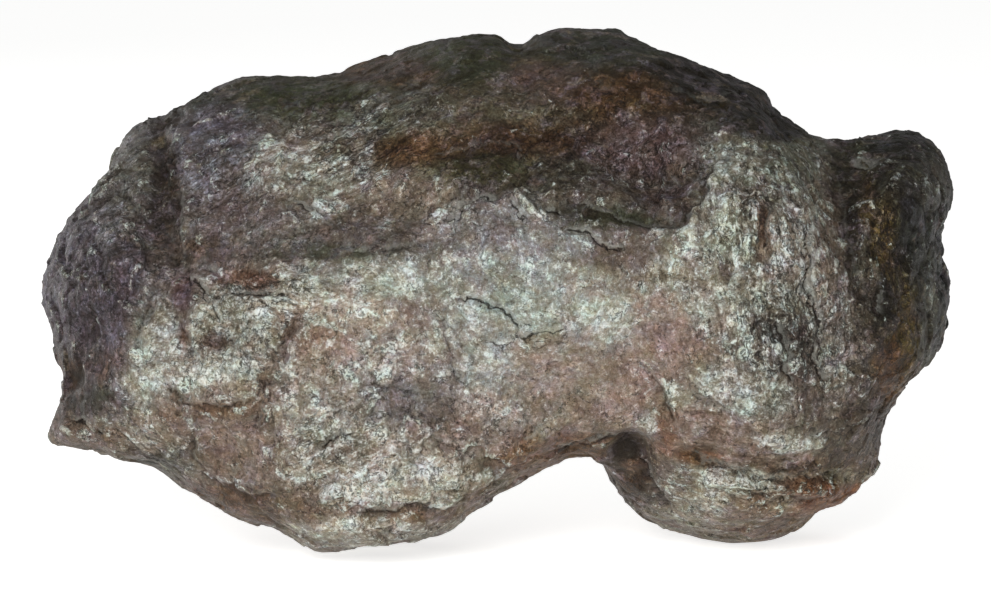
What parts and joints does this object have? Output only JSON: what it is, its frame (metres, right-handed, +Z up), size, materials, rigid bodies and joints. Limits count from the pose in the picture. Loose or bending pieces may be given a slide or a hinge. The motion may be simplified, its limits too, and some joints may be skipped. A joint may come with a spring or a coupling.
{
  "type": "iron meteorite",
  "caption": "Large weathered iron meteorite: a long lumpy mass with a scooped front, a rounded shoulder and an arched underside, standing on two broad feet.",
  "frame": {"origin": "on the floor, under the middle of the mass", "axes": "+Z up, +X along the length towards the ear-like end, -Y out of the pale front"},
  "size_m": [0.8014, 0.3942, 0.451],
  "materials": {
    "weathered_iron": "weathered, dull oxide crust"
  },
  "bodies": {
    "root": {"meteorite": "weathered_iron"}
  },
  "joints": []
}
